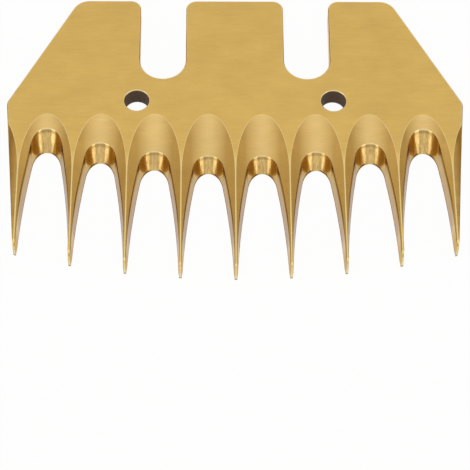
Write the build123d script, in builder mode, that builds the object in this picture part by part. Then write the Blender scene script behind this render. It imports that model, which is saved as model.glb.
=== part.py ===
from build123d import *
import os
from math import acos, atan, cos, degrees, radians, sin, sqrt, tan

# Shearing comb: one flat steel plate with a slotted heel and a row of fluted, tapered teeth.
# X runs across the row, the teeth point to -Y, the skin side is up and the cutter side is at Z = 0.

# Plate
tooth_count = 9
tooth_pitch = 8.97
shoulder = 2.43
overall_length = 54.4
thickness = 3.3
heel_width = 53.7
chamfer_length = 21.7
heel_corner_radius = 3.0
side_corner_radius = 2.0
edge_break = 0.15

# Open screw slots in the heel
slot_spacing = 24.5
slot_width = 7.8
slot_depth = 16.6
slot_mouth_radius = 1.8

# Pin holes
hole_spacing = 33.1
hole_diameter = 4.1
hole_from_heel = 21.25
hole_chamfer = 0.1

# Tooth tips, on an arc, each with a tapered and rounded nose
tip_arc_radius = 143.5
tip_width = 0.68
tip_crest_width = 0.4
nose_length = 1.1
nose_taper = 7.0
nose_radius = 1.2

# Gaps between the teeth: round roots on an arc, leaning back and opening out towards the skin side
root_arc_radius = 118.6
root_from_tip = 20.42
root_radius = 2.45
root_side_angle = 9.7
root_lean = 49.5
wall_draft = 5.0

# Ground flutes on the skin side, one on each side of every tooth, all starting on one straight line
flute_from_heel = 24.0
flute_depth = 1.5
flute_path_radius = 48.0
flute_crest = 0.2

# How far a cutting shape runs past the faces that it cuts
overrun = 2.0

# Places that follow from the sizes
gap_count = tooth_count - 1
flute_count = tooth_count + 1
row_half = (tooth_count - 1) / 2 * tooth_pitch
half_width = row_half + shoulder
end_half = row_half + tip_width / 2 - nose_length * tan(radians(nose_taper))
heel_y = overall_length / 2
tip_y = -overall_length / 2
front_y = tip_y - overrun
side_corner_y = heel_y - chamfer_length
hole_y = heel_y - hole_from_heel
root_y = tip_y + root_from_tip


def arc_rise(sideways, radius):
    """Height of an arc above its lowest point, at a distance to one side of it."""
    return radius - sqrt(radius**2 - sideways**2)


def tip_line(x):
    """Y of the arc that the tooth tips lie on."""
    return tip_y + arc_rise(x, tip_arc_radius)


def gap_section(gap_x, height):
    """Level section of one gap: a leaning round root, sides that open towards the tips, and tapered noses."""
    across = root_radius + height * tan(radians(wall_draft))
    along = across / cos(radians(root_lean))
    centre_y = root_y + arc_rise(gap_x, root_arc_radius) + height * tan(radians(root_lean)) - along
    root_start = degrees(atan(tan(radians(root_side_angle)) * along / across))
    tooth_width = tip_width + (tip_crest_width - tip_width) * height / thickness
    mouth_half = (tooth_pitch - tooth_width) / 2
    left_y = tip_line(gap_x - tooth_pitch / 2) + nose_length
    right_y = tip_line(gap_x + tooth_pitch / 2) + nose_length
    left_end = gap_x - mouth_half - (left_y - front_y) * tan(radians(nose_taper))
    right_end = gap_x + mouth_half + (right_y - front_y) * tan(radians(nose_taper))
    with BuildSketch(Plane.XY.offset(height)) as section:
        with BuildLine():
            root = EllipticalCenterArc((gap_x, centre_y), across, along, root_start, arc_size=180 - 2 * root_start)
            right_side = TangentArc(root @ 0, (gap_x + mouth_half, right_y), tangent=-(root % 0))
            left_side = TangentArc(root @ 1, (gap_x - mouth_half, left_y), tangent=root % 1)
            Polyline(right_side @ 1, (right_end, front_y), (left_end, front_y), left_side @ 1)
        make_face()
    return section.sketch.face()


# Cutter for one flute: a round-bottomed groove that comes down along an arc and then runs level
flute_half = (tooth_pitch - flute_crest) / 2
flute_radius = (flute_half**2 + flute_depth**2) / (2 * flute_depth)
flute_floor = thickness - flute_depth
flute_angle = acos(1 - flute_depth / flute_path_radius)
flute_level_y = heel_y - flute_from_heel - flute_path_radius * sin(flute_angle)
flute_path_axis = Axis((0, flute_level_y, flute_floor + flute_path_radius), (1, 0, 0))

with BuildPart() as flute:
    with BuildSketch(Plane.XZ.offset(-flute_level_y)) as groove:
        with Locations((0, flute_floor + flute_radius)):
            Circle(flute_radius)
    extrude(amount=flute_level_y - front_y)
    revolve(
        groove.sketch.face(),
        axis=flute_path_axis,
        revolution_arc=degrees(flute_angle + overrun / flute_path_radius),
    )

with BuildPart() as comb:
    # Plate with a chamfered heel, open slots, sides that taper to the end teeth and a front edge on the tip arc
    with BuildSketch() as outline:
        with BuildLine():
            rim = Polyline(
                (-end_half, tip_line(end_half)),
                (-half_width, side_corner_y),
                (-heel_width / 2, heel_y),
                (heel_width / 2, heel_y),
                (half_width, side_corner_y),
                (end_half, tip_line(end_half)),
            )
            ThreePointArc(rim @ 1, (0, tip_y), rim @ 0)
        make_face()
        fillet(outline.vertices().group_by(Axis.Y)[-2], side_corner_radius)
        fillet(outline.vertices().group_by(Axis.Y)[-1], heel_corner_radius)
        with GridLocations(slot_spacing, 0, 2, 1):
            with Locations((0, heel_y - slot_depth + slot_width / 2)):
                Circle(slot_width / 2, mode=Mode.SUBTRACT)
                Rectangle(slot_width, slot_depth, align=(Align.CENTER, Align.MIN), mode=Mode.SUBTRACT)
        slot_mouths = outline.vertices().group_by(Axis.Y)[-1].sort_by(Axis.X)[1:-1]
        fillet(slot_mouths, slot_mouth_radius)
    extrude(amount=thickness)

    # Rounded nose along the front edge, and a broken edge round the rest of the skin side
    front = comb.faces().sort_by(Axis.Y)[0]
    fillet(front.edges().sort_by(Axis.Z)[-1], nose_radius)
    skin_rim = comb.faces().sort_by(Axis.Z)[-1].edges().sort_by(Axis.Y)[1:]
    chamfer(skin_rim, edge_break)

    # Pin holes, chamfered on the skin side
    with Locations((0, hole_y, thickness)):
        with GridLocations(hole_spacing, 0, 2, 1):
            CounterSinkHole(hole_diameter / 2, hole_diameter / 2 + hole_chamfer, counter_sink_angle=90)

    # Gaps that leave the teeth standing
    for index in range(gap_count):
        gap_x = (index - (gap_count - 1) / 2) * tooth_pitch
        levels = [gap_section(gap_x, -overrun), gap_section(gap_x, thickness + overrun)]
        loft(levels, ruled=True, mode=Mode.SUBTRACT)

    # Flutes
    with GridLocations(tooth_pitch, 0, flute_count, 1):
        add(flute.part, mode=Mode.SUBTRACT)

comb.part.label = "comb"
os.makedirs("parts", exist_ok=True)
export_step(comb.part, "parts/comb.step")
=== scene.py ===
import bpy
from math import cos, pi, radians, sin
from mathutils import Matrix, Vector

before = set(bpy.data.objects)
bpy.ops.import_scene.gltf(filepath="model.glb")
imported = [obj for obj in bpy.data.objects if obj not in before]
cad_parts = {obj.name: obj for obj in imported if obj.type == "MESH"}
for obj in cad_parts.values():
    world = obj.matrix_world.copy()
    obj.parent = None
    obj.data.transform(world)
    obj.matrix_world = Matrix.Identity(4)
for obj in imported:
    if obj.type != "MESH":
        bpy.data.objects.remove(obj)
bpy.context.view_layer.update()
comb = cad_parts["comb"]
scene = bpy.context.scene
scene.view_settings.view_transform = "Standard"

# Places on the comb that its material follows, in metres
TOOTH_PITCH = 0.00897
HALF_PITCH = TOOTH_PITCH / 2
TIP_Y = -0.0272
ROOT_Y = -0.00678
FLUTE_LEVEL_Y = -0.008706
FLUTE_FLOOR = 0.0018
PLATE_TOP = (0.00328, 0.003292)
HOLE_CENTRE = (0.01655, 0.00595, 0.0)

# How the arcs of the comb rise with the square of the distance from their lowest point, per metre
TIP_ARC = 3.5
ROOT_ARC = 4.216
FLUTE_PATH = 10.42
FLUTE_GROOVE = 76.3


# Camera, fitted to the tips, holes, slots and heel
def add_camera():
    elevation, azimuth, roll = radians(57.774), radians(1.327), radians(1.238)
    distance = 0.36014
    target = Vector((-0.000114, -0.01865, 0.0))
    forward = Vector((cos(elevation) * sin(azimuth), cos(elevation) * cos(azimuth), -sin(elevation)))
    level = Vector((cos(azimuth), -sin(azimuth), 0.0))
    upright = level.cross(forward)
    right = cos(roll) * level + sin(roll) * upright
    up = cos(roll) * upright - sin(roll) * level
    data = bpy.data.cameras.new("photo_camera")
    data.sensor_width = 36.0
    data.lens = 168.8
    data.clip_start = 0.01
    data.clip_end = 10.0
    camera = bpy.data.objects.new("photo_camera", data)
    scene.collection.objects.link(camera)
    place = Matrix((right, up, -forward)).transposed().to_4x4()
    place.translation = target - distance * forward
    camera.matrix_world = place
    scene.camera = camera


def node_maker(tree):
    def make(kind, inputs=None, **settings):
        node = tree.nodes.new(kind)
        for name, value in settings.items():
            setattr(node, name, value)
        for name, value in (inputs or {}).items():
            if isinstance(value, bpy.types.NodeSocket):
                tree.links.new(value, node.inputs[name])
            else:
                node.inputs[name].default_value = value
        return node
    return make


# White floor that takes the comb's shadow
def add_floor():
    half = 3.0
    corners = [(-half, -half, 0), (half, -half, 0), (half, half, 0), (-half, half, 0)]
    mesh = bpy.data.meshes.new("floor")
    mesh.from_pydata(corners, [], [(0, 1, 2, 3)])
    floor = bpy.data.objects.new("floor", mesh)
    floor.location.z = -0.00002
    scene.collection.objects.link(floor)
    material = bpy.data.materials.new("floor_white")
    material.use_nodes = True
    tree = material.node_tree
    tree.nodes.clear()
    make = node_maker(tree)
    path = make("ShaderNodeLightPath")
    rays = {0: path.outputs["Is Camera Ray"], 1: path.outputs["Is Glossy Ray"]}
    seen = make("ShaderNodeMath", rays, operation="MAXIMUM")
    share = make("ShaderNodeMath", {0: seen.outputs[0], 1: 0.96}, operation="MULTIPLY")
    diffuse = make("ShaderNodeBsdfDiffuse", {"Color": (0.9, 0.9, 0.9, 1)})
    glow = make("ShaderNodeEmission", {"Color": (1, 1, 1, 1), "Strength": 1.0})
    mix = make("ShaderNodeMixShader", {0: share.outputs[0], 1: diffuse.outputs[0], 2: glow.outputs[0]})
    make("ShaderNodeOutputMaterial", {"Surface": mix.outputs[0]})
    mesh.materials.append(material)


# Studio that is bright overhead and dim and warm near the floor
def add_world():
    world = bpy.data.worlds.new("studio")
    scene.world = world
    world.use_nodes = True
    tree = world.node_tree
    tree.nodes.clear()
    make = node_maker(tree)
    direction = make("ShaderNodeTexCoord")
    axes = make("ShaderNodeSeparateXYZ", {0: direction.outputs["Generated"]})
    ramp = make("ShaderNodeValToRGB", {0: axes.outputs["Z"]})
    levels = [
        (0.0, (0.24, 0.19, 0.14)),
        (0.2, (0.3, 0.25, 0.19)),
        (0.45, (0.49, 0.43, 0.35)),
        (0.65, (0.68, 0.65, 0.61)),
        (0.85, (0.86, 0.86, 0.86)),
        (1.0, (1.05, 1.05, 1.05)),
    ]
    ramp.color_ramp.elements.remove(ramp.color_ramp.elements[1])
    for place, level in levels:
        stop = ramp.color_ramp.elements[0] if place == 0 else ramp.color_ramp.elements.new(place)
        stop.position = place
        stop.color = (*level, 1)
    background = make("ShaderNodeBackground", {"Color": ramp.outputs[0], "Strength": 1.0})
    make("ShaderNodeOutputWorld", {"Surface": background.outputs[0]})


def add_softbox(name, direction, distance, size, radiance):
    data = bpy.data.lights.new(name, "AREA")
    data.shape = "SQUARE"
    data.size = size
    data.energy = radiance * pi * size * size
    lamp = bpy.data.objects.new(name, data)
    toward = Vector(direction).normalized()
    lamp.location = distance * toward
    lamp.rotation_mode = "QUATERNION"
    lamp.rotation_quaternion = toward.to_track_quat("Z", "Y")
    scene.collection.objects.link(lamp)


# Satin gold coat over ground steel
def add_gold(comb):
    material = bpy.data.materials.new("gold_coat")
    material.use_nodes = True
    tree = material.node_tree
    tree.nodes.clear()
    make = node_maker(tree)
    coords = make("ShaderNodeTexCoord")
    surface = make("ShaderNodeNewGeometry")
    place = make("ShaderNodeSeparateXYZ", {0: coords.outputs["Object"]})
    facing = make("ShaderNodeSeparateXYZ", {0: coords.outputs["Normal"]})
    x, y, z = (place.outputs[axis] for axis in "XYZ")
    facing_x, facing_y, facing_z = (facing.outputs[axis] for axis in "XYZ")

    def math(operation, first, second=0.0):
        return make("ShaderNodeMath", {0: first, 1: second}, operation=operation).outputs[0]

    def times(first, *others):
        for other in others:
            first = math("MULTIPLY", first, other)
        return first

    def without(mask):
        return math("SUBTRACT", 1.0, mask)

    def rise(value, low, high, at_low=0.0, at_high=1.0):
        sockets = {"Value": value, "From Min": low, "From Max": high, "To Min": at_low, "To Max": at_high}
        return make("ShaderNodeMapRange", sockets).outputs[0]

    def fall(value, low, high):
        return rise(value, low, high, 1.0, 0.0)

    def vectors(operation, first, second, result="Vector"):
        return make("ShaderNodeVectorMath", {0: first, 1: second}, operation=operation).outputs[result]

    def noise(stretch, detail, low, high):
        scaled = vectors("MULTIPLY", coords.outputs["Object"], stretch)
        pattern = make("ShaderNodeTexNoise", {"Vector": scaled, "Scale": 1.0, "Detail": detail})
        return rise(pattern.outputs[0], 0.3, 0.7, low, high)

    def edges(radius, low, high):
        bevel = make("ShaderNodeBevel", {"Radius": radius}, samples=8)
        turn = vectors("DOT_PRODUCT", bevel.outputs[0], surface.outputs["Normal"], "Value")
        return rise(turn, low, high)

    def blend(share, first, second, kind="MIX"):
        node = make("ShaderNodeMix", data_type="RGBA", blend_type=kind)
        for socket, value in zip((node.inputs[0], node.inputs[6], node.inputs[7]), (share, first, second)):
            if isinstance(value, bpy.types.NodeSocket):
                tree.links.new(value, socket)
            else:
                socket.default_value = value
        return node.outputs[2]

    # Distances from the features of the comb, and how the surface faces
    sideways = math("ABSOLUTE", facing_x)
    level = math("ABSOLUTE", facing_z)
    from_middle = math("ABSOLUTE", x)
    from_tooth = math("PINGPONG", from_middle, HALF_PITCH)
    from_gap = math("SUBTRACT", HALF_PITCH, from_tooth)
    gap_middle = math("ADD", math("SNAP", from_middle, TOOTH_PITCH), HALF_PITCH)
    from_tip = math("SUBTRACT", math("SUBTRACT", y, TIP_Y), times(from_middle, from_middle, TIP_ARC))
    from_root = math("SUBTRACT", math("SUBTRACT", y, ROOT_Y), times(gap_middle, gap_middle, ROOT_ARC))
    up_flute = math("MAXIMUM", math("SUBTRACT", y, FLUTE_LEVEL_Y), 0.0)
    flute_rise = math("ADD", times(up_flute, up_flute, FLUTE_PATH), times(from_gap, from_gap, FLUTE_GROOVE))
    below_flute = math("SUBTRACT", math("ADD", flute_rise, FLUTE_FLOOR), z)
    beside_middle = make("ShaderNodeCombineXYZ", {0: from_middle, 1: y})
    from_hole = vectors("DISTANCE", beside_middle.outputs[0], HOLE_CENTRE, "Value")

    # Plate and the stretch with the teeth
    plate = rise(z, *PLATE_TOP)
    teeth = fall(y, -0.003, -0.001)
    behind_tips = rise(y, -0.0105, -0.0095)

    # Leaning roots: a ground strip in the middle, with a painted highlight on its lip and a painted shade
    # under it, and sides painted dark brown as shade between the roots and the tooth walls
    root_foot = fall(math("ADD", from_root, times(z, 0.63)), -0.0006, -0.0002)
    root = times(fall(facing_y, -0.31, -0.26), behind_tips, without(root_foot))
    shaded_root_side = times(root, rise(from_tooth, 0.00313, 0.00304))
    strip = math("SUBTRACT", root, shaded_root_side)
    strip_lip_highlight = times(strip, fall(below_flute, 0.00006, 0.00011))
    strip_shade = times(strip, fall(below_flute, 0.0003, 0.0004))

    # Upright walls of the teeth, from the foot of the roots to the tips, painted with shade: a darker gold on
    # the walls, a dark line along their tops, a browner tone near the tips and darker outer flanks
    steep = times(fall(level, 0.28, 0.42), without(root))
    foot = times(root_foot, behind_tips, fall(level, 0.77, 0.8))
    upright = times(math("MAXIMUM", steep, foot), teeth)
    wall = times(upright, rise(from_tip, 0.002, 0.006, 0.35, 1.0))
    wall_top_shade = times(upright, fall(below_flute, 0.0003, 0.0008))
    wall_tip_shade = times(upright, fall(from_tip, 0.002, 0.0045))
    outer_shade = times(rise(from_middle, 0.0363, 0.0367), fall(z, *PLATE_TOP))

    # Ridges and noses of the teeth: painted highlights on the ridges and noses, and painted shade along the
    # foot of the noses
    crest = times(fall(from_tooth, 0.00025, 0.00055), fall(y, -0.007, -0.004))
    front = times(fall(from_tip, 0.0012, 0.002), fall(facing_y, -0.5, -0.3))
    nose_highlight = times(front, fall(z, 0.0013, 0.0018))
    nose_foot_shade = times(front, fall(z, 0.0002, 0.0004))

    # Pin holes: bores painted dark as shade inside them, and a painted highlight on the far rim
    bore = fall(from_hole, 0.00208, 0.00211)
    hole_rim_highlight = times(fall(from_hole, 0.00222, 0.0023), rise(y, 0.0062, 0.0072))

    # Edges: painted highlights where they face up, painted shade between the flutes and the walls
    slanted = rise(sideways, 0.2, 0.35)
    wide_rim_highlight = times(edges(0.0003, 0.997, 0.96), fall(y, 0.0015, 0.002), without(slanted))
    upward_edge_highlight = times(math("MAXIMUM", edges(0.00014, 0.999, 0.993), wide_rim_highlight), rise(facing_z, 0.8, 0.86))
    edge_shade = times(edges(0.0005, 0.965, 0.91), teeth, slanted, without(crest))

    # Grinding marks: lines across the plate and flutes, coarser streaks down the strips, and a faint mottling
    lines = noise((420.0, 5200.0, 420.0), 2.0, 0.965, 1.035)
    streaks = noise((4600.0, 900.0, 900.0), 3.0, 0.74, 1.26)
    mottle = noise((190.0, 300.0, 190.0), 4.0, 0.955, 1.045)
    marks = times(mottle, make("ShaderNodeMix", {0: strip, 2: lines, 3: streaks}).outputs[0])
    tone = make("ShaderNodeCombineColor", {0: marks, 1: marks, 2: marks}).outputs[0]

    # Colour of the coat, from the flutes and the plate to the small features
    colour = blend(plate, (0.765, 0.53, 0.2, 1), (0.79, 0.527, 0.153, 1))
    layers = [
        # painted shade: faces turned sideways are darkened and browned
        (rise(sideways, 0.08, 0.55), (0.93, 0.83, 0.58, 1), "MULTIPLY"),
        # painted shade on the outer flanks
        (outer_shade, (0.62, 0.52, 0.36, 1), "MULTIPLY"),
        # painted light: the steep flute sides next to the ridges are brightened to orange
        (times(rise(sideways, 0.42, 0.56), teeth), (1.0, 0.65, 0.19, 1), "MIX"),
        (root, (0.83, 0.585, 0.225, 1), "MIX"),
        # painted dark brown shade on the root sides
        (shaded_root_side, (0.5, 0.29, 0.065, 1), "MIX"),
        # walls painted a darker gold as shade
        (wall, (0.66, 0.46, 0.185, 1), "MIX"),
        # painted shade on the walls near the tips
        (wall_tip_shade, (0.9, 0.82, 0.66, 1), "MULTIPLY"),
        # painted dark shade along the tops of the walls
        (wall_top_shade, (0.46, 0.29, 0.09, 1), "MIX"),
        (1.0, tone, "MULTIPLY"),
        # painted highlight on the edges that face up
        (upward_edge_highlight, (1.0, 0.78, 0.36, 1), "MIX"),
        # painted highlight on the ridges
        (times(crest, 0.75), (1.0, 0.74, 0.29, 1), "MIX"),
        # painted highlight on the noses
        (nose_highlight, (0.84, 0.74, 0.42, 1), "MIX"),
        # painted shade along the foot of the noses
        (nose_foot_shade, (0.3, 0.24, 0.15, 1), "MIX"),
        # painted highlight on the far rim of the holes
        (hole_rim_highlight, (1.0, 0.84, 0.48, 1), "MIX"),
        (times(strip_shade, 0.45), (0.34, 0.19, 0.05, 1), "MIX"),
        # painted highlight on the lip of the strip
        (strip_lip_highlight, (1.0, 0.82, 0.42, 1), "MIX"),
        # painted shade between the flutes and the walls
        (edge_shade, (0.26, 0.15, 0.045, 1), "MIX"),
        # bores painted dark as shade inside the holes
        (bore, (0.15, 0.088, 0.05, 1), "MIX"),
    ]
    for share, tint, kind in layers:
        colour = blend(share, colour, tint, kind)

    # Gloss: smoother strips, rough non-metal bores, and duller walls where they are seen along the surface,
    # their dimmed reflection a painted shade
    grain = noise((260.0, 900.0, 260.0), 3.0, 0.26, 0.36)
    roughness = math("ADD", math("SUBTRACT", grain, times(strip, 0.1)), times(bore, 0.4))
    # painted shade: reflections dimmed along the wall tops, the flute-to-wall edges and near the tips
    reflection_shade = math("MAXIMUM", math("MAXIMUM", wall_top_shade, edge_shade), times(wall_tip_shade, 0.5))
    graze = blend(wall, (1.0, 1.0, 1.0, 1), (0.68, 0.69, 0.86, 1))
    graze = blend(reflection_shade, graze, (0.22, 0.14, 0.05, 1))
    finish = {"Base Color": colour, "Metallic": without(bore), "Roughness": roughness, "Specular Tint": graze}
    shader = make("ShaderNodeBsdfPrincipled", finish)
    make("ShaderNodeOutputMaterial", {"Surface": shader.outputs[0]})
    comb.data.materials.clear()
    comb.data.materials.append(material)


add_camera()
add_floor()
add_world()
add_softbox("left_softbox", (-0.8, -0.42, 0.43), 0.9, 0.45, 0.85)
add_softbox("right_softbox", (0.8, -0.42, 0.43), 0.9, 0.45, 0.85)
add_softbox("front_softbox", (0.0, -0.95, 0.3), 0.9, 0.4, 1.1)
add_gold(comb)
